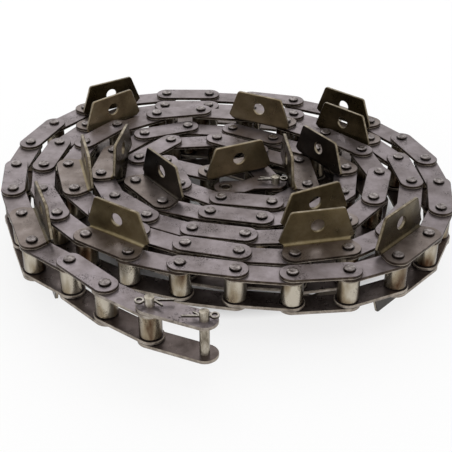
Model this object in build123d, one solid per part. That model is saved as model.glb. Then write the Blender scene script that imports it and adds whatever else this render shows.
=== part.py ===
from build123d import *
import math
import os

# Steel conveyor chain, coiled flat on its side with every pin upright.
# Links count from the free outer end: even links are outer, odd links are inner,
# every sixth one from link 4 carries bent attachment ears, and the last is cranked.
# Link k joins pin k to pin k + 1. The ground is z = 0, and the origin lies under
# the middle of the coil's bounding box.

# Driving dimensions, millimetres
PITCH = 41.4
PLATE_RADIUS = 9.9
PLATE_THICKNESS = 2.6
INNER_WIDTH = 20.24
SIDE_GAP = 0.3
ROLLER_RADIUS = 8.335
ROLLER_BORE = 5.28
ROLLER_PLAY = 0.2
BUSH_RADIUS = 5.2
BUSH_BORE = 3.64
PIN_RADIUS = 3.58
HEAD_RADIUS = 4.1
HEAD_HEIGHT = 1.9
EAR_HEIGHT = 27.0
EAR_BASE = 58.0
EAR_TOP = 40.5
EAR_FACE = 15.0
EAR_HOLE_RADIUS = 5.3
EAR_HOLE_HEIGHT = 14.0
FOLD_CHAMFER = 1.7
FOLD_RELIEF = 4.2
FOLD_RELIEF_RISE = 3.0
SHOULDER = 8.4
COTTER_WIRE = 1.6
LEG_WIDTH = 1.0
EYE_RADIUS = 3.2
COTTER_HEIGHT = 3.3
END_COTTER_ANGLE = 24
JOINT_COTTER_ANGLE = 204
OFFSET_COTTER_ANGLE = 0
LONG_PIN_END = 6.8
SHORT_PIN_END = 5.7
CRANK_START = 18.0
CRANK_END = 26.0

# Levels above and below the middle plane of the chain
INNER_FACE = INNER_WIDTH / 2
INNER_TOP = INNER_FACE + PLATE_THICKNESS
OUTER_FACE = INNER_TOP + SIDE_GAP
OUTER_TOP = OUTER_FACE + PLATE_THICKNESS
MIDDLE = OUTER_TOP + EAR_HEIGHT

# How many links there are and which ones swing
LINKS = 97
SWINGING_LINKS = 10
OFFSET_LINK = LINKS - 1
FIRST_EARED = 4
EARED_EVERY = 6

# Nearly five hundred pieces repeat along the chain, so their rounds are cut as
# a few flats. The open bush and one pair of ears, where other things are
# fastened, have true bores.
OUTER_END_FLATS = 4
INNER_END_FLATS = 3
ROUND_FLATS = 7

# Lie of the coil: its radius every eighth of a turn, clockwise from the front
FIRST_TURN = 105
COILED_PINS = 84
COIL_RADII = [
    222, 181, 178, 175, 147, 156, 177, 187,
    150, 149, 154, 147, 121, 127, 155, 159,
    128, 121, 132, 118, 101, 98, 129, 129,
    105, 99, 104, 95, 76, 71, 104, 101,
    74, 75, 77, 70, 53, 45, 71, 73,
    51, 47,
]
# Bends at the pins of the loose outer end and of the curled inner end, degrees
OUTER_END_BENDS = [14, 14, 13, 1, 30, -6, 9, 13]
INNER_END_BENDS = [25, 37, 134, -50, 90, 112]
# The third wrap rides up over its neighbour at the back
RIDE_FIRST_PIN = 45
RIDE_LAST_PIN = 70
RIDE_STEP = 0.45
RIDE_HEIGHT = 5.2


def coil_radius(turn):
    """Radius of the coil at a turn in degrees, a smooth curve through COIL_RADII."""
    eighth = min(int(turn // 45), len(COIL_RADII) - 2)
    t = turn / 45 - eighth
    r1 = COIL_RADII[eighth]
    r2 = COIL_RADII[eighth + 1]
    r0 = COIL_RADII[eighth - 1] if eighth else 2 * r1 - r2
    r3 = COIL_RADII[min(eighth + 2, len(COIL_RADII) - 1)]
    slope = r2 - r0
    curve = 2 * r0 - 5 * r1 + 4 * r2 - r3
    twist = 3 * r1 - 3 * r2 + r3 - r0
    return 0.5 * (2 * r1 + slope * t + curve * t**2 + twist * t**3)


def coil_point(turn):
    """Plan position on the coil at a turn in degrees."""
    radius = coil_radius(turn)
    angle = math.radians(turn)
    return Vector(-radius * math.sin(angle), -radius * math.cos(angle))


def next_turn(turn):
    """The turn one pitch further along the coil."""
    start = coil_point(turn)
    far = turn
    while (coil_point(far) - start).length < PITCH:
        far += 1
    near = far - 1
    for _ in range(30):
        middle = (near + far) / 2
        if (coil_point(middle) - start).length < PITCH:
            near = middle
        else:
            far = middle
    return far


def heading(start, end):
    """Direction from one pin to the next, degrees."""
    return math.degrees(math.atan2(end.Y - start.Y, end.X - start.X))


def pitch_step(angle):
    """One pitch along a direction in degrees."""
    return Vector(PITCH * math.cos(math.radians(angle)), PITCH * math.sin(math.radians(angle)))


def ride(pin):
    """How far the third wrap lifts a pin."""
    rise = RIDE_STEP * (pin - RIDE_FIRST_PIN)
    fall = RIDE_STEP * (RIDE_LAST_PIN - pin)
    return max(0, min(rise, fall, RIDE_HEIGHT))


def pin_places():
    """Every pin's place on the middle plane, from the free outer end inwards."""
    turn = FIRST_TURN
    pins = [coil_point(turn)]
    while len(pins) < COILED_PINS:
        turn = next_turn(turn)
        pins.append(coil_point(turn))
    angle = heading(pins[0], pins[1])
    for bend in OUTER_END_BENDS:
        angle += bend
        pins.insert(0, pins[0] - pitch_step(angle))
    angle = heading(pins[-2], pins[-1])
    for bend in INNER_END_BENDS:
        angle -= bend
        pins.append(pins[-1] + pitch_step(angle))
    return [Vector(pin.X, pin.Y, MIDDLE + ride(k)) for k, pin in enumerate(pins)]


def link_plane(pins, link):
    """A link's own plane: x runs from its first pin to its second, z is up."""
    along = (pins[link + 1] - pins[link]).normalized()
    up = (Vector(0, 0, 1) - along * along.Z).normalized()
    return Plane(origin=pins[link], x_dir=along, z_dir=up)


def is_eared(link):
    """Whether a link carries attachment ears."""
    return link % EARED_EVERY == FIRST_EARED and link != OFFSET_LINK


def shaft_face(radius):
    """Flats that fit inside a round bar."""
    return RegularPolygon(radius, ROUND_FLATS)


def bore_face(radius):
    """Flats that clear a round bore."""
    return RegularPolygon(radius, ROUND_FLATS, major_radius=False)


def rod(face, bottom, top):
    """A face raised from one level to another."""
    return Pos(0, 0, bottom) * extrude(face, top - bottom)


def end_corners(x, first_angle, turn, flats):
    """Corners round a plate end about the pin at x."""
    angles = [math.radians(first_angle + turn * i / flats) for i in range(flats + 1)]
    return [(x + PLATE_RADIUS * math.cos(a), PLATE_RADIUS * math.sin(a)) for a in angles]


def corner_face(corners):
    """A flat face inside a ring of corners."""
    return make_face(Polyline(*corners, close=True))


def plate_face(end_flats):
    """Outline of a plain side plate, its pins at x = 0 and x = PITCH."""
    near_end = end_corners(0, 90, 180, end_flats)
    far_end = end_corners(PITCH, -90, 180, end_flats)
    return corner_face(near_end + far_end)


def eared_face():
    """Outline of an attachment plate: straight to the fold on the ear's side."""
    left = (PITCH - EAR_BASE) / 2 + FOLD_RELIEF
    right = (PITCH + EAR_BASE) / 2 - FOLD_RELIEF
    far_end = end_corners(PITCH, 0, 90, OUTER_END_FLATS // 2)
    near_end = end_corners(0, 90, 90, OUTER_END_FLATS // 2)
    fold = [(-PLATE_RADIUS, -SHOULDER), (left, -EAR_FACE)]
    fold += [(right, -EAR_FACE), (PITCH + PLATE_RADIUS, -SHOULDER)]
    return corner_face(near_end + fold + far_end)


def ear(hole):
    """The upright trapezoid of an attachment plate, relieved at the fold and drilled."""
    middle = PITCH / 2
    fold = EAR_BASE / 2 - FOLD_RELIEF
    wide = EAR_BASE / 2
    base = OUTER_TOP + FOLD_RELIEF_RISE
    top = OUTER_TOP + EAR_HEIGHT
    right = [(fold, OUTER_FACE), (fold, OUTER_TOP), (wide, base), (EAR_TOP / 2, top)]
    left = [(-x, z) for x, z in reversed(right)]
    outline = Pos(middle, 0) * corner_face(right + left)
    face = outline - Pos(middle, OUTER_TOP + EAR_HOLE_HEIGHT) * hole
    upright = Plane.XZ.offset(EAR_FACE - PLATE_THICKNESS) * face
    return extrude(upright, PLATE_THICKNESS, dir=(0, -1, 0))


def pin_holes(hole):
    """The same hole face at both pins."""
    return [hole, Pos(PITCH, 0) * hole]


def outer_plate(drilled):
    """Upper outer plate, pressed onto the pins where it is drilled."""
    face = plate_face(OUTER_END_FLATS)
    if drilled:
        face -= pin_holes(shaft_face(PIN_RADIUS))
    return rod(face, OUTER_FACE, OUTER_TOP)


def inner_plate(drilled):
    """Upper inner plate, pressed onto the bushes where it is drilled."""
    face = plate_face(INNER_END_FLATS)
    if drilled:
        face -= pin_holes(shaft_face(BUSH_RADIUS))
    return rod(face, INNER_FACE, INNER_TOP)


def eared_plate(drilled, hole):
    """Upper attachment plate: an outer plate with an ear bent up along one side."""
    face = eared_face()
    if drilled:
        face -= pin_holes(shaft_face(PIN_RADIUS))
    plate = rod(face, OUTER_FACE, OUTER_TOP) + ear(hole)
    outside_fold = plate.edges().filter_by(Axis.X).group_by(Axis.Y)[0].sort_by(Axis.Z)[0]
    return chamfer(outside_fold, FOLD_CHAMFER)


def lower(upper):
    """The matching lower piece: the upper one mirrored in the middle plane."""
    return mirror(upper, about=Plane.XY)


def bush():
    """A bush, flush with the outsides of the inner plates."""
    return rod(shaft_face(BUSH_RADIUS) - bore_face(BUSH_BORE), -INNER_TOP, INNER_TOP)


def open_bush():
    """The bush of the chain's inner end, which waits for a pin."""
    return rod(shaft_face(BUSH_RADIUS) - Circle(BUSH_BORE), -INNER_TOP, INNER_TOP)


def roller():
    """A roller that turns on its bush."""
    face = shaft_face(ROLLER_RADIUS) - bore_face(ROLLER_BORE)
    return rod(face, ROLLER_PLAY - INNER_FACE, INNER_FACE - ROLLER_PLAY)


def coil_roller():
    """A roller of the coil, in one with the bush and the pin that fill it."""
    return rod(shaft_face(ROLLER_RADIUS), -INNER_FACE, INNER_FACE)


def pin_head():
    """Riveted pin end that stands on an outer plate."""
    return rod(shaft_face(HEAD_RADIUS), OUTER_TOP, OUTER_TOP + HEAD_HEIGHT)


def riveted_pin():
    """A pin as long as the chain is wide, its ends standing past the outer plates."""
    end = OUTER_TOP + HEAD_HEIGHT
    return rod(shaft_face(PIN_RADIUS), -end, end)


def cotter_level():
    """Height of a cotter above the middle plane."""
    return OUTER_TOP + COTTER_HEIGHT


def cottered_pin(pin_end, cotter_angle):
    """A removable pin: headed below, pierced across for a cotter above."""
    shank = rod(shaft_face(PIN_RADIUS), -OUTER_TOP, OUTER_TOP + pin_end)
    head = rod(shaft_face(HEAD_RADIUS), -OUTER_TOP - HEAD_HEIGHT, -OUTER_TOP)
    slot = Box(4 * PIN_RADIUS, 2 * LEG_WIDTH, COTTER_WIRE)
    return shank + head - Pos(0, 0, cotter_level()) * Rot(0, 0, cotter_angle) * slot


def cotter(angle, leg, splay):
    """A split pin along +X: an eye, a straight leg and a leg splayed by an angle."""
    out = PIN_RADIUS + LEG_WIDTH / 2
    both_legs = Rectangle(2 * out, 2 * LEG_WIDTH)
    tip_leg = Rectangle(leg - out, LEG_WIDTH, align=(Align.MIN, Align.MIN))
    straight = Pos(out, 0) * tip_leg
    bent = Pos(out, 0) * Rot(0, 0, -splay) * Pos(0, -LEG_WIDTH) * tip_leg
    ring = shaft_face(EYE_RADIUS) - shaft_face(EYE_RADIUS - LEG_WIDTH)
    eye = Pos(-PIN_RADIUS - EYE_RADIUS, 0) * ring
    flat = eye + both_legs + straight + bent
    low = cotter_level() - COTTER_WIRE / 2
    return Rot(0, 0, angle) * rod(flat, low, low + COTTER_WIRE)


def cranked_plate():
    """Upper plate of the offset link: outer level at its pin, inner level at its bush."""
    left = -PLATE_RADIUS
    right = PITCH + PLATE_RADIUS
    under = [(left, OUTER_FACE), (CRANK_START, OUTER_FACE), (CRANK_END, INNER_FACE), (right, INNER_FACE)]
    over = [(right, INNER_TOP), (CRANK_END, INNER_TOP), (CRANK_START, OUTER_TOP), (left, OUTER_TOP)]
    strip = extrude(Plane.XZ * corner_face(under + over), PLATE_RADIUS, both=True)
    holes = [shaft_face(PIN_RADIUS), Pos(PITCH, 0) * shaft_face(BUSH_RADIUS)]
    return strip & rod(plate_face(OUTER_END_FLATS) - holes, 0, MIDDLE)


def at_both_pins(piece):
    """A piece at the first pin of a link and its copy at the second."""
    return [piece, Pos(PITCH, 0) * piece]


def connecting_link():
    """Link 0, which the cottered pins close."""
    plate = outer_plate(True)
    end_pin = cottered_pin(LONG_PIN_END, END_COTTER_ANGLE)
    joint_pin = cottered_pin(LONG_PIN_END, JOINT_COTTER_ANGLE)
    joint_cotter = Pos(PITCH, 0) * cotter(JOINT_COTTER_ANGLE, 12, 40)
    return {
        "connecting_link_upper_plate": [plate],
        "connecting_link_lower_plate": [lower(plate)],
        "connecting_link_end_pin": [end_pin],
        "connecting_link_joint_pin": [Pos(PITCH, 0) * joint_pin],
        "connecting_link_cotters": [cotter(END_COTTER_ANGLE, 12, 25), joint_cotter],
    }


def inner_link(link):
    """An inner link that swings: two plates pressed onto two bushes, and two rollers."""
    plate = inner_plate(True)
    name = f"inner_link_{link}"
    return {
        f"{name}_upper_plate": [plate],
        f"{name}_lower_plate": [lower(plate)],
        f"{name}_bushes": at_both_pins(bush()),
        f"{name}_roller_a": [roller()],
        f"{name}_roller_b": [Pos(PITCH, 0) * roller()],
    }


def outer_link(link):
    """An outer link that swings, plain or with ears: two plates riveted onto two pins."""
    if is_eared(link):
        plate = eared_plate(True, Circle(EAR_HOLE_RADIUS))
        name = f"attachment_link_{link}"
    else:
        plate = outer_plate(True)
        name = f"outer_link_{link}"
    return {
        f"{name}_upper_plate": [plate],
        f"{name}_lower_plate": [lower(plate)],
        f"{name}_pins": at_both_pins(riveted_pin()),
    }


def offset_link():
    """The cranked last link, with an open bush and a roller at its far end."""
    plate = cranked_plate()
    pin = cottered_pin(SHORT_PIN_END, OFFSET_COTTER_ANGLE)
    return {
        "offset_link_upper_plate": [plate],
        "offset_link_lower_plate": [lower(plate)],
        "offset_link_pin": [pin],
        "offset_link_cotter": [cotter(OFFSET_COTTER_ANGLE, 11, 15)],
        "offset_link_bush": [Pos(PITCH, 0) * open_bush()],
        "offset_link_roller": [Pos(PITCH, 0) * roller()],
    }


def coil_plates(link):
    """The node name and the upper plate of a link that lies still in the coil."""
    if link == OFFSET_LINK - 1:
        return "inner", inner_plate(True)
    if link % 2:
        return "inner", COIL_INNER_PLATE
    if is_eared(link):
        return "attachment", COIL_EARED_PLATE
    return "outer", COIL_OUTER_PLATE


def coil_links(pins):
    """The wound links, which lie still: copies of the same few pieces along the coil."""
    kinds = ["outer", "attachment", "inner"]
    parts = {f"coil_{side}_{kind}_plates": [] for kind in kinds for side in ["upper", "lower"]}
    heads = at_both_pins(pin_head())
    filled_rollers = at_both_pins(coil_roller())
    rollers = []
    pin_ends = []
    for link in range(SWINGING_LINKS, OFFSET_LINK):
        place = link_plane(pins, link).location
        kind, upper = coil_plates(link)
        parts[f"coil_upper_{kind}_plates"].append(place * upper)
        parts[f"coil_lower_{kind}_plates"].append(place * lower(upper))
        if kind != "inner":
            pin_ends += [place * head for head in heads]
        elif link < OFFSET_LINK - 1:
            rollers += [place * roller for roller in filled_rollers]
    first_place = link_plane(pins, SWINGING_LINKS).location
    last_place = link_plane(pins, OFFSET_LINK - 1).location
    through_pin = rod(shaft_face(PIN_RADIUS), -OUTER_FACE, OUTER_FACE)
    parts["coil_pins"] = pin_ends + [first_place * through_pin, last_place * through_pin]
    parts["coil_rollers"] = rollers + [last_place * piece for piece in at_both_pins(roller())]
    parts["coil_bushes"] = [last_place * piece for piece in at_both_pins(bush())]
    return parts


def swinging_link(link):
    """The pieces of a link that swings, in the link's own plane."""
    if link == 0:
        return connecting_link()
    if link == OFFSET_LINK:
        return offset_link()
    if link % 2:
        return inner_link(link)
    return outer_link(link)


def chain(pins):
    """Every node's pieces at their places."""
    parts = {}
    for link in [*range(SWINGING_LINKS), OFFSET_LINK]:
        place = link_plane(pins, link).location
        for name, pieces in swinging_link(link).items():
            parts[name] = [place * piece for piece in pieces]
    parts.update(coil_links(pins))
    return parts


COIL_OUTER_PLATE = outer_plate(False)
COIL_INNER_PLATE = inner_plate(False)
COIL_EARED_PLATE = eared_plate(False, shaft_face(EAR_HOLE_RADIUS))

PINS = pin_places()
PARTS = chain(PINS)
BOX = Compound([piece for pieces in PARTS.values() for piece in pieces]).bounding_box()
TO_ORIGIN = Location((-BOX.center().X, -BOX.center().Y, -BOX.min.Z))

os.makedirs("parts", exist_ok=True)
for node, pieces in PARTS.items():
    export_step(Compound([piece.moved(TO_ORIGIN) for piece in pieces]), f"parts/{node}.step")

for pin in [*range(SWINGING_LINKS + 1), OFFSET_LINK, LINKS]:
    place = PINS[pin] + TO_ORIGIN.position
    print(f"pin {pin}: {place.X:.3f} {place.Y:.3f} {place.Z:.3f}")
print("size", BOX.size)
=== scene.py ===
import math

import bpy
from mathutils import Matrix, Vector


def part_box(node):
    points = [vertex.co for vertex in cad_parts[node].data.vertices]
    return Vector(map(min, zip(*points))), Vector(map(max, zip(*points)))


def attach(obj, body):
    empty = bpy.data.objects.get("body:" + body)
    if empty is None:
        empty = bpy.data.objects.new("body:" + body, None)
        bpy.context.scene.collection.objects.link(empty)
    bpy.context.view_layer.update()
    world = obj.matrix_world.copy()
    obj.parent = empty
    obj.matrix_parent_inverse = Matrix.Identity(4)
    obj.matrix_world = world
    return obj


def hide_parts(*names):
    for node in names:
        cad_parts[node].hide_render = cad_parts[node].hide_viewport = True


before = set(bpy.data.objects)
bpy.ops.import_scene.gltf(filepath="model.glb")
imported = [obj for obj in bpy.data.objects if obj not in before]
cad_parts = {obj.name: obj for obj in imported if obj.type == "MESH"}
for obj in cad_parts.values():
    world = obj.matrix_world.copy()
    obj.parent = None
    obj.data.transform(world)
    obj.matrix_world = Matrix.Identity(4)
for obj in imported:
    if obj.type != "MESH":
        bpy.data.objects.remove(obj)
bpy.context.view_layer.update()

# Sizes of the chain in metres. Heads, ears and cotters are a little fuller than the
# solids, and the cranked plates a little slimmer; the rest is as in the CAD source.
MILLIMETRE = 0.001
PITCH = 0.0414
PLATE_RADIUS = 0.0099
CRANKED_RADIUS = 0.0096
PLATE_THICKNESS = 0.0026
INNER_FACE = 0.01012
INNER_TOP = INNER_FACE + PLATE_THICKNESS
SIDE_GAP = 0.0003
OUTER_FACE = INNER_TOP + SIDE_GAP
OUTER_TOP = OUTER_FACE + PLATE_THICKNESS
ROLLER_RADIUS = 0.008335
ROLLER_HALF = 0.00992
BUSH_RADIUS = 0.0052
BUSH_BORE = 0.00364
PIN_RADIUS = 0.00358
RIM_HEIGHT = 0.0009
HEAD_RADIUS = 0.0045
HEAD_SQUASH = 0.97
SKIRT_RADIUS = 0.0049
SKIRT_HEIGHT = 0.00012
SHANK_HEIGHT = 0.0006
HEAD_STEPS = ((0.0003, HEAD_RADIUS / PIN_RADIUS), (0.0007, 0.97), (0.0004, 0.78))
LOW_HEAD_STEPS = ((0.0002, HEAD_RADIUS / PIN_RADIUS), (0.0013, 1), (0.0004, 0.85))
DIMPLE_RIM = 0.0012
DIMPLE_DEPTH = 0.00025
EAR_HEIGHT = 0.027
EAR_BASE = 0.0595
EAR_TOP = 0.0422
EAR_FACE = 0.015
EAR_HOLE_RADIUS = 0.0053
EAR_HOLE_HEIGHT = 0.014
EAR_CORNER = 0.0016
FOLD_BEND = 0.0026
FOLD_RELIEF = 0.0042
FOLD_RELIEF_RISE = 0.003
FOLD_STEPS = 4
COTTER_WIRE = 0.0019
LEG_WIDTH = 0.0014
EYE_RADIUS = 0.0034
COTTER_HEIGHT = 0.0033
COTTER_HOLE_RADIUS = 0.00105
END_COTTER_ANGLE = 24
JOINT_COTTER_ANGLE = 204
OFFSET_COTTER_ANGLE = 0
LONG_PIN_END = 0.0068
SHORT_PIN_END = 0.0057
CRANK_START = 0.018
CRANK_END = 0.026
EDGE_BREAK = 0.0004
ROLLER_BREAK = 0.0008
PIN_BREAK = 0.0006
BUSH_BREAK = 0.0005
WIRE_BREAK = 0.0003
MIDDLE = OUTER_TOP + EAR_HEIGHT

LINKS = 97
SWINGING_LINKS = 10
OFFSET_LINK = LINKS - 1
EARED_EVERY = 6
FIRST_EARED = 4

# Lie of the coil: its radius in millimetres every eighth of a turn, clockwise from
# the front; then the bend in degrees at each pin of the two free ends, and the
# stretch where the third wrap rides up on its neighbour
EIGHTH_TURN = 45
FIRST_TURN = 105
COILED_PINS = 84
COIL_RADII = [
    222, 181, 178, 175, 147, 156, 177, 187,
    150, 149, 154, 147, 121, 127, 155, 159,
    128, 121, 132, 118, 101, 98, 129, 129,
    105, 99, 104, 95, 76, 71, 104, 101,
    74, 75, 77, 70, 53, 45, 71, 73,
    51, 47,
]
OUTER_END_BENDS = [14, 14, 13, 1, 30, -6, 9, 13]
INNER_END_BENDS = [25, 37, 134, -50, 90, 112]
RIDE_FIRST_PIN = 45
RIDE_LAST_PIN = 70
RIDE_STEP = 0.00045
RIDE_HEIGHT = 0.0052
HALVINGS = 30


# ---- the lie of the links ----

def coil_radius(turn):
    """Radius of the coil at a turn in degrees, a smooth curve through COIL_RADII."""
    eighth = min(int(turn // EIGHTH_TURN), len(COIL_RADII) - 2)
    t = turn / EIGHTH_TURN - eighth
    r1 = COIL_RADII[eighth]
    r2 = COIL_RADII[eighth + 1]
    r0 = COIL_RADII[eighth - 1] if eighth else 2 * r1 - r2
    r3 = COIL_RADII[min(eighth + 2, len(COIL_RADII) - 1)]
    curve = 2 * r0 - 5 * r1 + 4 * r2 - r3
    twist = 3 * r1 - 3 * r2 + r3 - r0
    return MILLIMETRE / 2 * (2 * r1 + (r2 - r0) * t + curve * t**2 + twist * t**3)


def coil_point(turn):
    """Place on the coil at a turn in degrees."""
    angle = math.radians(turn)
    return Vector((-math.sin(angle), -math.cos(angle), 0)) * coil_radius(turn)


def next_turn(turn):
    """The turn one pitch further along the coil, closed in on by halves."""
    start = coil_point(turn)
    far = turn
    while (coil_point(far) - start).length < PITCH:
        far += 1
    near = far - 1
    for _ in range(HALVINGS):
        middle = (near + far) / 2
        if (coil_point(middle) - start).length < PITCH:
            near = middle
        else:
            far = middle
    return far


def heading(start, end):
    """Direction from one pin to the next."""
    return math.atan2(end.y - start.y, end.x - start.x)


def pitch_step(angle):
    """One pitch along a direction."""
    return Vector((math.cos(angle), math.sin(angle), 0)) * PITCH


def ride(pin):
    """How far the third wrap lifts a pin."""
    rise = RIDE_STEP * (pin - RIDE_FIRST_PIN)
    fall = RIDE_STEP * (RIDE_LAST_PIN - pin)
    return max(0, min(rise, fall, RIDE_HEIGHT))


def pin_places():
    """Every pin's place on the middle plane, from the free outer end inwards."""
    turn = FIRST_TURN
    pins = [coil_point(turn)]
    while len(pins) < COILED_PINS:
        turn = next_turn(turn)
        pins.append(coil_point(turn))
    angle = heading(pins[0], pins[1])
    for bend in OUTER_END_BENDS:
        angle += math.radians(bend)
        pins.insert(0, pins[0] - pitch_step(angle))
    angle = heading(pins[-2], pins[-1])
    for bend in INNER_END_BENDS:
        angle -= math.radians(bend)
        pins.append(pins[-1] + pitch_step(angle))
    low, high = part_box("connecting_link_end_pin")
    shift = (Vector(low) + Vector(high)) / 2 - pins[0]
    return [Vector((p.x + shift.x, p.y + shift.y, MIDDLE + ride(k))) for k, p in enumerate(pins)]


def link_place(link):
    """Matrix that takes a link's own axes to its place: x along the link, z up."""
    along = (PINS[link + 1] - PINS[link]).normalized()
    up = (Vector((0, 0, 1)) - along * along.z).normalized()
    side = up.cross(along)
    turn = Matrix((along, side, up)).transposed().to_4x4()
    return Matrix.Translation(PINS[link]) @ turn


PINS = pin_places()


# ---- working in edit mode ----

def begin():
    """Leave nothing selected before a new piece."""
    if bpy.context.object and bpy.context.object.mode != "OBJECT":
        bpy.ops.object.mode_set(mode="OBJECT")
    bpy.ops.object.select_all(action="DESELECT")


def pick_vertices(test):
    """Select the vertices of the active piece whose place passes a test."""
    bpy.ops.object.mode_set(mode="EDIT")
    bpy.ops.mesh.select_mode(type="VERT")
    bpy.ops.mesh.select_all(action="DESELECT")
    bpy.ops.object.mode_set(mode="OBJECT")
    for vertex in bpy.context.object.data.vertices:
        vertex.select = test(vertex.co)
    bpy.ops.object.mode_set(mode="EDIT")


def pick_faces(test):
    """Select the faces of the active piece whose middle and normal pass a test."""
    bpy.ops.object.mode_set(mode="EDIT")
    bpy.ops.mesh.select_mode(type="FACE")
    bpy.ops.mesh.select_all(action="DESELECT")
    bpy.ops.object.mode_set(mode="OBJECT")
    for face in bpy.context.object.data.polygons:
        face.select = test(face.center, face.normal)
    bpy.ops.object.mode_set(mode="EDIT")


def shift_picked(x, y, z):
    """Move what is selected."""
    bpy.ops.transform.translate(value=(x, y, z))


def draw_out(x, y, z):
    """Extrude what is selected."""
    bpy.ops.mesh.extrude_region_move(TRANSFORM_OT_translate={"value": (x, y, z)})


def widen_picked(x, y, centre):
    """Scale what is selected about a point."""
    bpy.ops.transform.resize(value=(x, y, 1), center_override=centre)


def raise_all(height):
    """Give a flat face its thickness."""
    bpy.ops.mesh.select_all(action="SELECT")
    draw_out(0, 0, height)
    bpy.ops.mesh.select_all(action="SELECT")
    bpy.ops.mesh.normals_make_consistent(inside=False)
    bpy.ops.object.mode_set(mode="OBJECT")


def soften(width, segments=1, angle=40):
    """Break the sharp edges of the active piece."""
    edge = bpy.context.object.modifiers.new("softened edges", "BEVEL")
    edge.width = width
    edge.segments = segments
    edge.limit_method = "ANGLE"
    edge.angle_limit = math.radians(angle)
    bpy.ops.object.modifier_apply(modifier=edge.name)


def cut_with(tool):
    """Cut the tool's shape out of the active piece and throw the tool away."""
    cut = bpy.context.object.modifiers.new("cut", "BOOLEAN")
    cut.operation = "DIFFERENCE"
    cut.object = tool
    bpy.ops.object.modifier_apply(modifier=cut.name)
    bpy.data.objects.remove(tool)


def settle():
    """Move the active piece's place, turn and scale into its mesh."""
    bpy.ops.object.transform_apply(location=True, rotation=True, scale=True)


def turned_bar(radius, bottom, top, sides):
    """A round bar that stands on its end between two levels."""
    begin()
    middle = (0, 0, (bottom + top) / 2)
    bpy.ops.mesh.primitive_cylinder_add(
        vertices=sides, radius=radius, depth=top - bottom, location=middle
    )
    settle()


def drill(radius, place, rotation=(0, 0, 0), depth=0.02, sides=32):
    """Drill a round hole through the active piece."""
    piece = bpy.context.object
    bpy.ops.mesh.primitive_cylinder_add(
        vertices=sides, radius=radius, depth=depth, location=place, rotation=rotation
    )
    bit = bpy.context.object
    bit.select_set(False)
    bpy.context.view_layer.objects.active = piece
    piece.select_set(True)
    cut_with(bit)


# ---- finishes ----

# Noise sizes and bump depths that every steel shares
NICK_SCALE = 900
CLUSTER_SCALE = 60
WEAR_SCALE = 130
GRAIN_SCALE = 1500
GRAIN_STRENGTH = 0.12
GRAIN_DEPTH = 0.00015
PIT_STRENGTH = 0.5
PIT_DEPTH = 0.0002
# Where values of the noise begin and end to count, and where a side turned away from the camera begins
# and ends to take painted shade
NICK_BAND = (0.52, 0.6)
CLUSTER_BAND = (0.52, 0.66)
WEAR_BAND = (0.3, 0.7)
TURNED_BAND = (0.35, 0.95)


def node_of(material, kind, x=0, y=0):
    """A shader node of a kind, set down at a place on the sheet."""
    node = material.node_tree.nodes.new(kind)
    node.location = (x, y)
    return node


def noise(material, scale, detail, stretch=(1, 1, 1), roughness=0.5):
    """Noise over the object's own coordinates, stretched along its axes."""
    place = node_of(material, "ShaderNodeTexCoord", -1200)
    fit = node_of(material, "ShaderNodeMapping", -1000)
    fit.inputs["Scale"].default_value = stretch
    cloud = node_of(material, "ShaderNodeTexNoise", -800)
    cloud.inputs["Scale"].default_value = scale
    cloud.inputs["Detail"].default_value = detail
    cloud.inputs["Roughness"].default_value = roughness
    link = material.node_tree.links.new
    link(place.outputs["Object"], fit.inputs["Vector"])
    link(fit.outputs["Vector"], cloud.inputs["Vector"])
    return cloud.outputs["Fac"]


def ramp(material, source, stops, x=-500):
    """A colour ramp over a value."""
    band = node_of(material, "ShaderNodeValToRGB", x)
    stretch = band.color_ramp
    while len(stretch.elements) < len(stops):
        stretch.elements.new(0.5)
    for element, (position, colour) in zip(stretch.elements, stops):
        element.position = position
        element.color = (*colour, 1)
    material.node_tree.links.new(source, band.inputs["Fac"])
    return band.outputs["Color"]


def blended(material, factor, first, second):
    """Two colours mixed by a value."""
    mix = node_of(material, "ShaderNodeMix", -250)
    mix.data_type = "RGBA"
    link = material.node_tree.links.new
    link(factor, mix.inputs["Factor"])
    link(first, mix.inputs["A"])
    if isinstance(second, tuple):
        mix.inputs["B"].default_value = (*second, 1)
    else:
        link(second, mix.inputs["B"])
    return mix.outputs["Result"]


def value_range(material, source, start, end, low=0.0, high=1.0):
    """A value from start to end stretched to a new range."""
    span = node_of(material, "ShaderNodeMapRange", -300)
    span.inputs["From Min"].default_value = start
    span.inputs["From Max"].default_value = end
    span.inputs["To Min"].default_value = low
    span.inputs["To Max"].default_value = high
    material.node_tree.links.new(source, span.inputs["Value"])
    return span.outputs["Result"]


def product(material, first, second):
    """Two values multiplied."""
    both = node_of(material, "ShaderNodeMath", -400)
    both.operation = "MULTIPLY"
    material.node_tree.links.new(first, both.inputs[0])
    material.node_tree.links.new(second, both.inputs[1])
    return both.outputs["Value"]


def total(material, values):
    """Several values added."""
    result = values[0]
    for value in values[1:]:
        both = node_of(material, "ShaderNodeMath", -400, 200)
        both.operation = "ADD"
        material.node_tree.links.new(result, both.inputs[0])
        material.node_tree.links.new(value, both.inputs[1])
        result = both.outputs["Value"]
    return result


def srgb(red, green, blue):
    """A colour written as it shows, turned to the linear values that a shader takes."""
    values = [c / 255 for c in (red, green, blue)]
    return tuple(c / 12.92 if c <= 0.04045 else ((c + 0.055) / 1.055) ** 2.4 for c in values)


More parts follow.
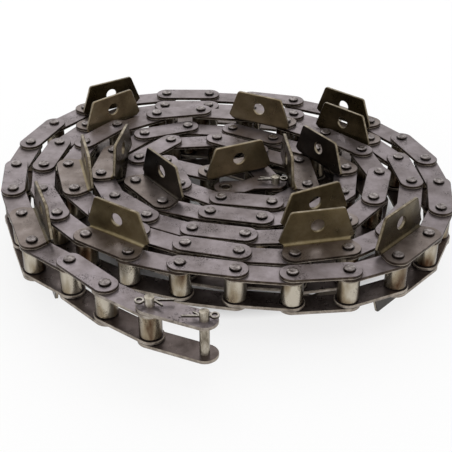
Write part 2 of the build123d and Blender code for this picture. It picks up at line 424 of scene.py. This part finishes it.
def shade_by_height(material, low, high, tint):
    """Paint shade into a steel: multiply its colour by a darker tint that comes in between two heights
    over the middle, so it is lighter low down and darker higher up.
    """
    shader = material.node_tree.nodes["Principled BSDF"]
    old = shader.inputs["Base Color"].links[0].from_socket
    place = node_of(material, "ShaderNodeTexCoord", -1200, 400)
    parts = node_of(material, "ShaderNodeSeparateXYZ", -1000, 400)
    link = material.node_tree.links.new
    link(place.outputs["Object"], parts.inputs["Vector"])
    rise = value_range(material, parts.outputs["Z"], MIDDLE + low, MIDDLE + high)
    mix = node_of(material, "ShaderNodeMix", -100, 400)
    mix.data_type = "RGBA"
    mix.blend_type = "MULTIPLY"
    link(rise, mix.inputs["Factor"])
    link(old, mix.inputs["A"])
    mix.inputs["B"].default_value = (*tint, 1)
    link(mix.outputs["Result"], shader.inputs["Base Color"])


def steel(name, shades, stain, gloss, metallic=0.85, cloud_size=38, stretch=(1, 1, 1),
          nicks=0.6, contrast=0.18, painted_side_shade=None, grit=0.68):
    """Steel with clouded colour, clusters of dark nicks, uneven gloss and a fine grain, and painted shade
    on the sides turned away from the camera where painted_side_shade is given.
    """
    material = bpy.data.materials.new(name)
    material.use_nodes = True
    shader = material.node_tree.nodes["Principled BSDF"]
    shader.inputs["Metallic"].default_value = metallic
    link = material.node_tree.links.new
    cloud = noise(material, cloud_size, 8, stretch, grit)
    stops = zip((0.5 - contrast, 0.5, 0.5 + contrast), shades)
    colour = ramp(material, cloud, list(stops))
    # Painted shade: sides turned away from the camera blend towards a darker colour
    if painted_side_shade:
        facing = node_of(material, "ShaderNodeLayerWeight", -800, 300)
        turned = value_range(material, facing.outputs["Facing"], *TURNED_BAND)
        colour = blended(material, turned, colour, painted_side_shade)
    spots = value_range(material, noise(material, NICK_SCALE, 5), *NICK_BAND)
    clusters = value_range(material, noise(material, CLUSTER_SCALE, 5), *CLUSTER_BAND, 0.0, nicks)
    worn = product(material, spots, clusters)
    link(blended(material, worn, colour, stain), shader.inputs["Base Color"])
    wear = noise(material, WEAR_SCALE, 5, stretch)
    link(value_range(material, wear, *WEAR_BAND, *gloss), shader.inputs["Roughness"])
    grain = noise(material, GRAIN_SCALE, 4, stretch)
    relief = node_of(material, "ShaderNodeBump", -200, -400)
    relief.inputs["Strength"].default_value = GRAIN_STRENGTH
    relief.inputs["Distance"].default_value = GRAIN_DEPTH
    link(grain, relief.inputs["Height"])
    pits = node_of(material, "ShaderNodeBump", -200, -600)
    pits.invert = True
    pits.inputs["Strength"].default_value = PIT_STRENGTH
    pits.inputs["Distance"].default_value = PIT_DEPTH
    link(worn, pits.inputs["Height"])
    link(relief.outputs["Normal"], pits.inputs["Normal"])
    link(pits.outputs["Normal"], shader.inputs["Normal"])
    return material


PLATE_STEEL = steel(
    "rolled plate steel",
    [srgb(98, 89, 88), srgb(124, 115, 116), srgb(143, 134, 137)], srgb(38, 30, 27), (0.3, 0.46),
    nicks=0.85)
# Painted shade: the edges of upper plates are darker than those of lower ones
EDGE_SHADE_STEEL = steel(
    "painted shade plate edge",
    [srgb(34, 27, 22), srgb(55, 45, 38), srgb(86, 75, 64)], srgb(24, 18, 14), (0.3, 0.46),
    cloud_size=140)
# Painted light: the lighter edges of lower plates and of the loose end
LIT_EDGE_STEEL = steel(
    "painted light plate edge",
    [srgb(98, 89, 81), srgb(140, 131, 122), srgb(172, 164, 154)], srgb(44, 35, 28), (0.3, 0.46),
    cloud_size=140)
# The sheared rim under a plate's edge, lighter than the rest with a painted highlight
RIM_HIGHLIGHT_STEEL = steel(
    "sheared rim with painted highlight",
    [srgb(96, 85, 74), srgb(140, 129, 116), srgb(176, 166, 153)], srgb(56, 46, 38), (0.3, 0.46),
    metallic=0.35, cloud_size=140)
# Painted shade on the insides of the plates, between the links
INSIDE_SHADE_STEEL = steel(
    "painted shade plate inside",
    [srgb(62, 53, 49), srgb(88, 78, 75), srgb(106, 96, 93)], srgb(32, 24, 20), (0.24, 0.4))
OILED_STEEL = steel(
    "oiled plate steel",
    [srgb(90, 79, 73), srgb(114, 103, 97), srgb(134, 124, 120)], srgb(38, 30, 24), (0.26, 0.42),
    nicks=0.7)
EAR_STEEL = steel(
    "oiled ear steel",
    [srgb(94, 82, 57), srgb(120, 107, 79), srgb(138, 126, 100)], srgb(50, 42, 30), (0.26, 0.42),
    nicks=0.3)
# Painted shade on the ear's inside: light at the fold, darker towards its top
shade_by_height(EAR_STEEL, OUTER_TOP + 0.003, OUTER_TOP + EAR_HEIGHT, srgb(214, 208, 200))
# Painted shade: the ear's back, darker than its inside
EAR_BACK_SHADE_STEEL = steel(
    "painted shade ear back",
    [srgb(46, 38, 25), srgb(69, 59, 39), srgb(91, 80, 57)], srgb(24, 18, 12), (0.22, 0.38), nicks=0.3)
# Painted light on the backs of a few ears
LIT_EAR_BACK_STEEL = steel(
    "painted light ear back",
    [srgb(108, 94, 70), srgb(134, 118, 90), srgb(152, 138, 112)], srgb(50, 42, 30), (0.26, 0.42),
    nicks=0.3)
# Painted deep shade on ears under the coil and a few others
EAR_DEEP_SHADE_STEEL = steel(
    "painted deep shade ear steel",
    [srgb(34, 29, 25), srgb(50, 44, 38), srgb(70, 62, 53)], srgb(22, 18, 15), (0.26, 0.42), nicks=0.4)
# The sheared edge of an ear, lighter with a painted highlight
EAR_EDGE_HIGHLIGHT_STEEL = steel(
    "sheared ear edge with painted highlight",
    [srgb(84, 74, 58), srgb(122, 111, 92), srgb(160, 150, 133)], srgb(52, 42, 30), (0.3, 0.46),
    cloud_size=160)
HEAD_STEEL = steel(
    "riveted head steel",
    [srgb(78, 70, 67), srgb(118, 110, 108), srgb(160, 153, 150)], srgb(34, 27, 23), (0.24, 0.38),
    cloud_size=300, contrast=0.13)
# Painted shade on the sides of the riveted heads and on the ring round their foot
RIVET_SIDE_SHADE_STEEL = steel(
    "painted shade rivet side",
    [srgb(30, 24, 20), srgb(46, 38, 34), srgb(74, 64, 58)], srgb(18, 14, 12), (0.3, 0.46), cloud_size=200)
# The roller's sides turned away from the camera take painted shade
ROLLER_STEEL = steel(
    "hardened roller steel",
    [srgb(74, 51, 32), srgb(140, 127, 106), srgb(184, 176, 161)], srgb(36, 24, 16), (0.22, 0.36),
    cloud_size=75, stretch=(1, 1, 0.45), nicks=0.95, contrast=0.12, painted_side_shade=srgb(58, 42, 27),
    grit=0.45)
ROLLER_END_STEEL = steel(
    "dark roller end",
    [srgb(52, 41, 32), srgb(80, 67, 54), srgb(112, 97, 80)], srgb(32, 23, 16), (0.3, 0.5),
    cloud_size=150)
# The pin's sides turned away from the camera take painted shade
PIN_STEEL = steel(
    "ground pin steel",
    [srgb(98, 89, 76), srgb(152, 144, 130), srgb(186, 179, 168)], srgb(52, 43, 33), (0.22, 0.36),
    cloud_size=200, stretch=(1, 1, 0.3), contrast=0.14, painted_side_shade=srgb(66, 57, 44))
WIRE_STEEL = steel(
    "bright cotter wire",
    [srgb(118, 112, 104), srgb(154, 148, 140), srgb(196, 190, 182)], srgb(70, 62, 54), (0.2, 0.32),
    cloud_size=240, nicks=0.3)
# Painted shade: the split pin's wire is darker on its sides than on top, standing in for the shadow under
# each leg
WIRE_SIDE_SHADE_STEEL = steel(
    "painted shade wire side",
    [srgb(40, 34, 29), srgb(62, 55, 48), srgb(92, 84, 75)], srgb(28, 22, 18), (0.26, 0.4), cloud_size=240)
BUSH_STEEL = steel(
    "bush steel",
    [srgb(56, 50, 46), srgb(88, 81, 75), srgb(122, 115, 108)], srgb(34, 28, 24), (0.28, 0.44),
    cloud_size=160)


# Places of the steels on a plate, and after them those of an ear
FACE, EDGE, INSIDE, RIM, EAR, EAR_BACK, EAR_EDGE = range(7)
# How far a face's normal turns towards an axis before the face counts as facing it
SQUARE_ON = 0.9
SLOPING = 0.5
LEANING = 0.3
WIRE_TOP = 0.35


def lay_steels(materials, choose):
    """Give the active piece its steels: choose names the steel of a face by its place and normal."""
    piece = bpy.context.object
    piece.data.materials.clear()
    for material in materials:
        piece.data.materials.append(material)
    for face in piece.data.polygons:
        face.material_index = choose(face.center, face.normal)


def plate_steel(place, normal, level):
    """A plate's steels: its outer face, its inside, and its edge with the rough rim below."""
    if normal.z > SQUARE_ON:
        return FACE
    if normal.z < -SQUARE_ON:
        return INSIDE
    return RIM if place.z < level + RIM_HEIGHT else EDGE


def outer_plate_steel(place, normal):
    """The steels of an upper outer plate."""
    return plate_steel(place, normal, OUTER_FACE)


def inner_plate_steel(place, normal):
    """The steels of an upper inner plate."""
    return plate_steel(place, normal, INNER_FACE)


def eared_steel(place, normal):
    """A plate's steels up to the fold, then those of the ear, its back and its edge."""
    if place.y > FOLD_LINE:
        return outer_plate_steel(place, normal)
    in_fold = place.z < OUTER_TOP + FOLD_BEND
    if normal.y > LEANING or (normal.z > LEANING and in_fold):
        return EAR
    if normal.y < -LEANING or (normal.z < -LEANING and in_fold):
        return EAR_BACK
    return EAR_EDGE


def end_steel(place, normal):
    """0 on the ends of an upright bar, 1 round its side."""
    return 0 if abs(normal.z) > SLOPING else 1


def head_steel(place, normal):
    """0 on top of a riveted head, 1 on its side and on the ring round its foot, both dark with painted
    shade.
    """
    return 0 if normal.z > SLOPING and place.z > OUTER_TOP + MILLIMETRE else 1


def wire_steel(place, normal):
    """0 on top of the wire of a split pin, 1 on its sides, which are darker with painted shade."""
    return 0 if normal.z > WIRE_TOP else 1


def one_steel(place, normal):
    """The same steel all over."""
    return 0


FOLD_LINE = FOLD_BEND + PLATE_THICKNESS - EAR_FACE
PLATE_STEELS = (PLATE_STEEL, EDGE_SHADE_STEEL, INSIDE_SHADE_STEEL, RIM_HIGHLIGHT_STEEL)
EAR_STEELS = (OILED_STEEL,) + PLATE_STEELS[1:] + (EAR_STEEL, EAR_BACK_SHADE_STEEL, EAR_EDGE_HIGHLIGHT_STEEL)


# ---- masters: one of each repeated piece, in its link's own axes ----

HEAD_SIDES = 12
ROLLER_SIDES = 24
ROUND_SIDES = 32
EYE_STEPS = 20
TIP_TAPER = 0.75
WELD = 1e-6
# The blank's corner from which an ear is folded, in degrees, how much the fold narrows
# it, and a hair's breadth past the fold
FOLD_CORNER = 37.5
FOLD_NARROWING = 0.945
HAIR = 1e-4


def slot_blank(level, radius=PLATE_RADIUS, sides=24):
    """A flat plate blank: a disc whose far half is drawn out by one pitch."""
    begin()
    half_side = math.pi / sides
    bpy.ops.mesh.primitive_circle_add(
        vertices=sides, radius=radius, fill_type="NGON", rotation=(0, 0, half_side)
    )
    settle()
    pick_vertices(lambda place: place.x > 0)
    shift_picked(PITCH, 0, 0)
    bpy.ops.mesh.select_all(action="SELECT")
    shift_picked(0, 0, level)


def mark_rim(level):
    """Part the rough lower rim that shears leave from the rest of a plate's edge."""
    bpy.ops.object.mode_set(mode="EDIT")
    bpy.ops.mesh.select_all(action="SELECT")
    bpy.ops.mesh.bisect(plane_co=(0, 0, level + RIM_HEIGHT), plane_no=(0, 0, 1))
    bpy.ops.object.mode_set(mode="OBJECT")


def plain_plate(level):
    """Side plate of a plain link."""
    slot_blank(level)
    raise_all(PLATE_THICKNESS)
    mark_rim(level)
    soften(EDGE_BREAK)
    lay_steels(PLATE_STEELS, outer_plate_steel if level == OUTER_FACE else inner_plate_steel)
    return bpy.context.object


def fold_rows():
    """The ear's sheet, row by row: how far out and up each one goes, and half its width."""
    rows = []
    for step in range(FOLD_STEPS):
        start = math.pi / 2 * step / FOLD_STEPS
        end = math.pi / 2 * (step + 1) / FOLD_STEPS
        out = FOLD_BEND * (math.sin(end) - math.sin(start))
        up = FOLD_BEND * (math.cos(start) - math.cos(end))
        spread = FOLD_RELIEF * FOLD_BEND * (1 - math.cos(end)) / FOLD_RELIEF_RISE
        rows.append((out, up, EAR_BASE / 2 - FOLD_RELIEF + spread))
    rows.append((0, FOLD_RELIEF_RISE - FOLD_BEND, EAR_BASE / 2))
    rows.append((0, EAR_HEIGHT - FOLD_RELIEF_RISE, EAR_TOP / 2))
    return rows


def eared_plate():
    """Upper attachment plate: sheet folded up into an ear and pierced for a bolt."""
    slot_blank(OUTER_TOP)
    middle = PITCH / 2
    pick_vertices(lambda place: place.y < -PLATE_RADIUS / 2)
    widen_picked(FOLD_NARROWING, 0, (middle, FOLD_LINE, 0))
    bpy.ops.mesh.dissolve_limited(angle_limit=math.radians(1))
    pick_vertices(lambda place: place.y < FOLD_LINE + HAIR)
    half = FOLD_NARROWING * (middle + PLATE_RADIUS * math.cos(math.radians(FOLD_CORNER)))
    for out, up, wide in fold_rows():
        draw_out(0, -out, up)
        widen_picked(wide / half, 1, (middle, 0, 0))
        half = wide
    bpy.ops.mesh.bevel(offset=EAR_CORNER, segments=2, affect="VERTICES")
    bpy.ops.mesh.select_all(action="SELECT")
    bpy.ops.mesh.normals_make_consistent(inside=False)
    bpy.ops.object.mode_set(mode="OBJECT")
    wall = bpy.context.object.modifiers.new("sheet", "SOLIDIFY")
    wall.thickness = PLATE_THICKNESS
    wall.offset = 1
    wall.use_even_offset = True
    bpy.ops.object.modifier_apply(modifier=wall.name)
    drill(EAR_HOLE_RADIUS, (middle, -EAR_FACE, OUTER_TOP + EAR_HOLE_HEIGHT), (math.pi / 2, 0, 0))
    mark_rim(OUTER_FACE)
    soften(EDGE_BREAK, angle=50)
    lay_steels(EAR_STEELS, eared_steel)
    return bpy.context.object


def cranked_plate():
    """Upper plate of the offset link: it steps down from the pin's level to the bush's."""
    slot_blank(OUTER_FACE, CRANKED_RADIUS)
    for bend in (CRANK_START, CRANK_END):
        bpy.ops.mesh.select_all(action="SELECT")
        bpy.ops.mesh.bisect(plane_co=(bend, 0, 0), plane_no=(1, 0, 0))
    pick_vertices(lambda place: place.x > (CRANK_START + CRANK_END) / 2)
    shift_picked(0, 0, INNER_FACE - OUTER_FACE)
    raise_all(PLATE_THICKNESS)
    drill(BUSH_RADIUS, (PITCH, 0, INNER_TOP))
    soften(EDGE_BREAK, angle=50)
    lay_steels(PLATE_STEELS, inner_plate_steel)
    return bpy.context.object


def rivet_head():
    """Riveted pin end: the shank spread into a low button with a sunk middle."""
    turned_bar(SKIRT_RADIUS, OUTER_TOP, OUTER_TOP + SKIRT_HEIGHT, HEAD_SIDES)
    pick_faces(lambda place, normal: normal.z > SQUARE_ON)
    bpy.ops.mesh.inset(thickness=SKIRT_RADIUS - PIN_RADIUS)
    draw_out(0, 0, SHANK_HEIGHT)
    for rise, spread in HEAD_STEPS:
        draw_out(0, 0, rise)
        widen_picked(spread, spread * HEAD_SQUASH, (0, 0, 0))
    bpy.ops.mesh.inset(thickness=DIMPLE_RIM, depth=-DIMPLE_DEPTH)
    bpy.ops.object.mode_set(mode="OBJECT")
    lay_steels((HEAD_STEEL, RIVET_SIDE_SHADE_STEEL), head_steel)
    return bpy.context.object


def roller_master():
    """A roller with its edges broken."""
    turned_bar(ROLLER_RADIUS, -ROLLER_HALF, ROLLER_HALF, ROLLER_SIDES)
    soften(ROLLER_BREAK)
    lay_steels((ROLLER_END_STEEL, ROLLER_STEEL), end_steel)
    return bpy.context.object


def cottered_pin(pin_end, cotter_angle):
    """A removable pin: headed below, chamfered and drilled across above."""
    turned_bar(PIN_RADIUS, -OUTER_TOP, OUTER_TOP + pin_end, ROUND_SIDES)
    pick_faces(lambda place, normal: normal.z < -SQUARE_ON)
    for drop, spread in LOW_HEAD_STEPS:
        draw_out(0, 0, -drop)
        widen_picked(spread, spread, (0, 0, 0))
    bpy.ops.object.mode_set(mode="OBJECT")
    across = (math.pi / 2, 0, math.radians(cotter_angle) + math.pi / 2)
    drill(COTTER_HOLE_RADIUS, (0, 0, OUTER_TOP + COTTER_HEIGHT), across, 12)
    soften(PIN_BREAK, segments=2, angle=60)
    lay_steels((PIN_STEEL,), one_steel)
    return bpy.context.object


def cotter_leg(y, length, turn):
    """One leg of a split pin, its inner side flat: from the pin's far side outwards."""
    out = PIN_RADIUS + LEG_WIDTH / 2
    begin()
    bpy.ops.mesh.primitive_cube_add(size=1, location=((length - out) / 2, y, 0))
    bpy.context.object.scale = (length - out, LEG_WIDTH, COTTER_WIRE)
    settle()
    pick_vertices(lambda place: place.x > 0.5 * (length - out))
    widen_picked(1, TIP_TAPER, (0, y, 0))
    bpy.ops.object.mode_set(mode="OBJECT")
    bpy.ops.transform.rotate(value=-turn, orient_axis="Z", center_override=(0, 0, 0))
    bpy.ops.transform.translate(value=(out, 0, 0))
    settle()
    return bpy.context.object


def cotter_eye():
    """The eye of a split pin: the wire swept round into a ring beside the pin."""
    begin()
    reach = EYE_RADIUS - LEG_WIDTH / 2
    bpy.ops.mesh.primitive_plane_add(size=1, location=(reach, 0, 0), rotation=(math.pi / 2, 0, 0))
    bpy.context.object.scale = (LEG_WIDTH, COTTER_WIRE, 1)
    settle()
    bpy.ops.object.mode_set(mode="EDIT")
    bpy.ops.mesh.select_all(action="SELECT")
    bpy.ops.mesh.bevel(offset=WIRE_BREAK, segments=2, affect="VERTICES")
    bpy.ops.mesh.delete(type="ONLY_FACE")
    bpy.ops.mesh.select_all(action="SELECT")
    bpy.ops.mesh.spin(steps=EYE_STEPS, angle=2 * math.pi, center=(0, 0, 0), axis=(0, 0, 1))
    bpy.ops.mesh.select_all(action="SELECT")
    bpy.ops.mesh.remove_doubles(threshold=WELD)
    bpy.ops.mesh.normals_make_consistent(inside=False)
    bpy.ops.object.mode_set(mode="OBJECT")
    bpy.context.object.location = (-PIN_RADIUS - EYE_RADIUS, 0, 0)
    settle()
    return bpy.context.object


def cotter_middle():
    """Both legs side by side where they pass through the pin."""
    begin()
    out = PIN_RADIUS + LEG_WIDTH / 2
    bpy.ops.mesh.primitive_cube_add(size=1)
    bpy.context.object.scale = (2 * out, 2 * LEG_WIDTH, COTTER_WIRE)
    settle()
    return bpy.context.object


def cotter(cotter_angle, straight_leg, bent_leg, splay):
    """A split pin: its eye, its straight leg and the leg bent aside."""
    straight = cotter_leg(LEG_WIDTH / 2, straight_leg, 0)
    bent = cotter_leg(-LEG_WIDTH / 2, bent_leg, -math.radians(splay))
    middle = cotter_middle()
    begin()
    for piece in (straight, bent, middle):
        piece.select_set(True)
    bpy.context.view_layer.objects.active = straight
    bpy.ops.object.join()
    soften(WIRE_BREAK, segments=2)
    cotter_eye()
    straight.select_set(True)
    bpy.ops.object.join()
    place = Matrix.Translation((0, 0, OUTER_TOP + COTTER_HEIGHT))
    bpy.context.object.data.transform(place @ Matrix.Rotation(math.radians(cotter_angle), 4, "Z"))
    lay_steels((WIRE_STEEL, WIRE_SIDE_SHADE_STEEL), wire_steel)
    return bpy.context.object


def open_bush():
    """The bush of the inner end, bored through and left open."""
    turned_bar(BUSH_RADIUS, -INNER_TOP, INNER_TOP, ROUND_SIDES)
    drill(BUSH_BORE, (0, 0, 0), depth=3 * INNER_TOP)
    soften(BUSH_BREAK, angle=60)
    lay_steels((BUSH_STEEL,), one_steel)
    return bpy.context.object


# ---- copies ----

SIDES = (("upper", False), ("lower", True))
THIS_PIN = Matrix.Identity(4)
NEXT_PIN = Matrix.Translation((PITCH, 0, 0))
SMOOTH_ANGLE = 35
# Links whose ears are painted lighter or in shade, behind or inside
LIT_BACKS = (34, 58, 94)
DEEP_SHADED_BACKS = (76,)
SHADED_INSIDES = (4, 22)
DEEP_SHADED_INSIDES = (82,)
# Each riveted head is turned this much further than the one before
HEAD_TURN = math.radians(137)


def copy_of(master, matrix, flip=False):
    """A copy of a master with its own mesh, placed by a matrix."""
    mesh = master.data.copy()
    if flip:
        mesh.transform(Matrix.Scale(-1, 4, (0, 0, 1)))
        mesh.flip_normals()
    mesh.transform(matrix)
    piece = bpy.data.objects.new("copy", mesh)
    bpy.context.scene.collection.objects.link(piece)
    return piece


def join_as(copies, body, node, lit_edges_shaded_ears=False):
    """Join copies into one piece that stands for a CAD node."""
    begin()
    for piece in copies:
        piece.select_set(True)
    bpy.context.view_layer.objects.active = copies[0]
    if len(copies) > 1:
        bpy.ops.object.join()
    bpy.ops.object.shade_smooth_by_angle(angle=math.radians(SMOOTH_ANGLE))
    piece = bpy.context.object
    piece.name = f"{node}_finished"
    # Lower plates and the loose end: painted light on the edges; the lower ears take painted deep shade
    if lit_edges_shaded_ears:
        piece.material_slots[EDGE].material = LIT_EDGE_STEEL
        for ear_side in piece.material_slots[EAR:EAR_EDGE]:
            ear_side.material = EAR_DEEP_SHADE_STEEL
    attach(piece, body)
    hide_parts(node)


def tone_ear(piece, link):
    """Ears differ in painted light: a few backs are painted lighter, others are painted in shade inside
    or behind.
    """
    if link in LIT_BACKS:
        piece.material_slots[EAR_BACK].material = LIT_EAR_BACK_STEEL
    if link in DEEP_SHADED_BACKS:
        piece.material_slots[EAR_BACK].material = EAR_DEEP_SHADE_STEEL
    if link in SHADED_INSIDES:
        piece.material_slots[EAR].material = EAR_BACK_SHADE_STEEL
    if link in DEEP_SHADED_INSIDES:
        piece.material_slots[EAR].material = EAR_DEEP_SHADE_STEEL


def plate_of(master, link, flip):
    """A side plate at its link, its ear toned where it is the upper one."""
    plate = copy_of(master, link_place(link), flip)
    if not flip:
        tone_ear(plate, link)
    return plate


def is_eared(link):
    """Whether a link carries attachment ears."""
    return link % EARED_EVERY == FIRST_EARED and link != OFFSET_LINK


def body_of(link):
    """The moving body that a link belongs to."""
    if link == 0:
        return "connecting_link"
    if link == OFFSET_LINK:
        return "offset_link"
    if link >= SWINGING_LINKS:
        return "coil"
    if link % 2:
        return f"inner_link_{link}"
    if is_eared(link):
        return f"attachment_link_{link}"
    return f"outer_link_{link}"


def both_ends(master, place, pin):
    """Riveted ends above and below at both pins of a link, each turned its own way."""
    ends = []
    for along in (THIS_PIN, NEXT_PIN):
        turn = Matrix.Rotation(HEAD_TURN * pin, 4, "Z")
        ends.append(copy_of(master, place @ along @ turn))
        ends.append(copy_of(master, place @ along @ turn, True))
        pin += 1
    return ends


UPPER_OUTER = plain_plate(OUTER_FACE)
UPPER_INNER = plain_plate(INNER_FACE)
UPPER_EARED = eared_plate()
UPPER_CRANKED = cranked_plate()
HEAD = rivet_head()
ROLLER = roller_master()
BUSH = open_bush()
LONG_END_PIN = cottered_pin(LONG_PIN_END, END_COTTER_ANGLE)
LONG_JOINT_PIN = cottered_pin(LONG_PIN_END, JOINT_COTTER_ANGLE)
SHORT_PIN = cottered_pin(SHORT_PIN_END, OFFSET_COTTER_ANGLE)
END_COTTER = cotter(END_COTTER_ANGLE, straight_leg=0.0155, bent_leg=0.0095, splay=40)
JOINT_COTTER = cotter(JOINT_COTTER_ANGLE, straight_leg=0.0172, bent_leg=0.012, splay=44)
OFFSET_COTTER = cotter(OFFSET_COTTER_ANGLE, straight_leg=0.015, bent_leg=0.013, splay=14)


# ---- the wound links ----

def coil_group(kind, master, links):
    """The upper and the lower plates of one kind along the coil."""
    for side, flip in SIDES:
        copies = [plate_of(master, link, flip) for link in links]
        join_as(copies, "coil", f"coil_{side}_{kind}_plates", lit_edges_shaded_ears=flip)


WOUND = range(SWINGING_LINKS, OFFSET_LINK)
WOUND_INNER = [link for link in WOUND if link % 2]
coil_group("outer", UPPER_OUTER, [link for link in WOUND if link % 2 == 0 and not is_eared(link)])
coil_group("attachment", UPPER_EARED, [link for link in WOUND if is_eared(link)])
coil_group("inner", UPPER_INNER, WOUND_INNER)

heads = []
for link in WOUND:
    if link % 2 == 0:
        heads += both_ends(HEAD, link_place(link), link)
join_as(heads, "coil", "coil_pins")

rollers = []
for link in WOUND_INNER:
    rollers += [copy_of(ROLLER, link_place(link)), copy_of(ROLLER, link_place(link) @ NEXT_PIN)]
join_as(rollers, "coil", "coil_rollers")


# ---- the links that swing ----

def swinging_plates(link, name, master):
    """Both side plates of a link that swings."""
    for side, flip in SIDES:
        plate = plate_of(master, link, flip)
        join_as([plate], body_of(link), f"{name}_{side}_plate", lit_edges_shaded_ears=flip or link < 2)


def swinging_link(link):
    """Plates with the rollers or the riveted ends of a link that swings."""
    name = body_of(link)
    place = link_place(link)
    if link % 2:
        swinging_plates(link, name, UPPER_INNER)
        for letter, along in (("a", THIS_PIN), ("b", NEXT_PIN)):
            node = f"{name}_roller_{letter}"
            join_as([copy_of(ROLLER, place @ along)], node, node)
        return
    if is_eared(link):
        swinging_plates(link, name, UPPER_EARED)
    else:
        swinging_plates(link, name, UPPER_OUTER)
    join_as(both_ends(HEAD, place, link), name, f"{name}_pins")


def connecting_link():
    """The link that the two long cottered pins close."""
    name = "connecting_link"
    place = link_place(0)
    swinging_plates(0, name, UPPER_OUTER)
    join_as([copy_of(LONG_END_PIN, place)], name, f"{name}_end_pin")
    join_as([copy_of(LONG_JOINT_PIN, place @ NEXT_PIN)], name, f"{name}_joint_pin")
    cotters = [copy_of(END_COTTER, place), copy_of(JOINT_COTTER, place @ NEXT_PIN)]
    join_as(cotters, name, f"{name}_cotters")


def offset_link():
    """The cranked last link, with its open bush and a roller at the far end."""
    name = "offset_link"
    place = link_place(OFFSET_LINK)
    swinging_plates(OFFSET_LINK, name, UPPER_CRANKED)
    join_as([copy_of(SHORT_PIN, place)], name, f"{name}_pin")
    join_as([copy_of(OFFSET_COTTER, place)], name, f"{name}_cotter")
    join_as([copy_of(BUSH, place @ NEXT_PIN)], name, f"{name}_bush")
    join_as([copy_of(ROLLER, place @ NEXT_PIN)], f"{name}_roller", f"{name}_roller")


connecting_link()
for link in range(1, SWINGING_LINKS):
    swinging_link(link)
offset_link()

MASTERS = [UPPER_OUTER, UPPER_INNER, UPPER_EARED, UPPER_CRANKED, HEAD, ROLLER, BUSH]
MASTERS += [LONG_END_PIN, LONG_JOINT_PIN, SHORT_PIN, END_COTTER, JOINT_COTTER, OFFSET_COTTER]
for master in MASTERS:
    bpy.data.objects.remove(master)

# The bushes inside the rollers keep their CAD shape
for name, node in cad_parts.items():
    if name.endswith("bushes"):
        for slot in node.material_slots:
            slot.material = BUSH_STEEL


# ---- floor, light and camera ----

# The floor shows its own shading within an oval round the coil and fades to white past
# it. The oval is a circle once the floor's x is scaled by COIL_OVAL.
COIL_MIDDLE = (0, 0.04, 0)
COIL_OVAL = (0.77, 1, 1)
COIL_SHADE = 0.11
COIL_EDGE = 0.145
WHITE_SHARE = 0.8
FLOOR_GREY = 0.94
FLOOR_SIZE = 8


def floor_finish():
    """A plain pale floor that the camera and mirror-like steel see as nearly white past the coil."""
    material = bpy.data.materials.new("pale floor")
    material.use_nodes = True
    shader = material.node_tree.nodes["Principled BSDF"]
    shader.inputs["Base Color"].default_value = (FLOOR_GREY, FLOOR_GREY, FLOOR_GREY, 1)
    shader.inputs["Roughness"].default_value = 0.9
    rays = node_of(material, "ShaderNodeLightPath", -600, 300)
    place = node_of(material, "ShaderNodeTexCoord", -1200, 500)
    oval = node_of(material, "ShaderNodeVectorMath", -1000, 500)
    oval.operation = "MULTIPLY"
    oval.inputs[1].default_value = COIL_OVAL
    reach = node_of(material, "ShaderNodeVectorMath", -800, 500)
    reach.operation = "DISTANCE"
    reach.inputs[1].default_value = COIL_MIDDLE
    white = node_of(material, "ShaderNodeEmission", -200, 300)
    white.inputs["Strength"].default_value = 1
    mix = node_of(material, "ShaderNodeMixShader", 300, 200)
    link = material.node_tree.links.new
    link(place.outputs["Object"], oval.inputs[0])
    link(oval.outputs["Vector"], reach.inputs[0])
    outside = value_range(material, reach.outputs["Value"], COIL_SHADE, COIL_EDGE, 0, WHITE_SHARE)
    kinds = ("Is Camera Ray", "Is Glossy Ray", "Is Transmission Ray")
    seen = total(material, [rays.outputs[kind] for kind in kinds])
    link(product(material, seen, outside), mix.inputs[0])
    link(shader.outputs["BSDF"], mix.inputs[1])
    link(white.outputs["Emission"], mix.inputs[2])
    link(mix.outputs["Shader"], material.node_tree.nodes["Material Output"].inputs["Surface"])
    return material


begin()
bpy.ops.mesh.primitive_plane_add(size=FLOOR_SIZE, location=(0, 0, 0))
floor = bpy.context.object
floor.name = "floor"
floor.data.materials.append(floor_finish())

world = bpy.data.worlds.new("studio")
bpy.context.scene.world = world
world.use_nodes = True
sky = world.node_tree.nodes["Background"]
sky.inputs["Color"].default_value = (1, 1, 1, 1)
sky.inputs["Strength"].default_value = 1.0


def soft_light(name, place, aim, size, power):
    """A large square lamp that looks at a point."""
    lamp = bpy.data.lights.new(name, "AREA")
    lamp.size = size
    lamp.energy = power
    holder = bpy.data.objects.new(name, lamp)
    bpy.context.scene.collection.objects.link(holder)
    holder.location = place
    holder.rotation_mode = "QUATERNION"
    holder.rotation_quaternion = (Vector(aim) - Vector(place)).to_track_quat("-Z", "Y")


soft_light("high back softbox", place=(-0.2, 1.0, 0.9), aim=(0, 0.05, 0), size=1.1, power=2)

CAMERA_RIGHT = 0.0015
CAMERA_BACK = 0.7155
CAMERA_HEIGHT = 0.4701
CAMERA_PITCH = 32.25
FOCAL_LENGTH = 79.65
SENSOR_WIDTH = 36
camera_data = bpy.data.cameras.new("camera")
camera_data.lens = FOCAL_LENGTH
camera_data.sensor_width = SENSOR_WIDTH
camera = bpy.data.objects.new("camera", camera_data)
bpy.context.scene.collection.objects.link(camera)
camera.location = (CAMERA_RIGHT, -CAMERA_BACK, CAMERA_HEIGHT)
camera.rotation_euler = (math.radians(90 - CAMERA_PITCH), 0, 0)
bpy.context.scene.camera = camera
bpy.context.scene.view_settings.view_transform = "Standard"

bpy.context.view_layer.update()
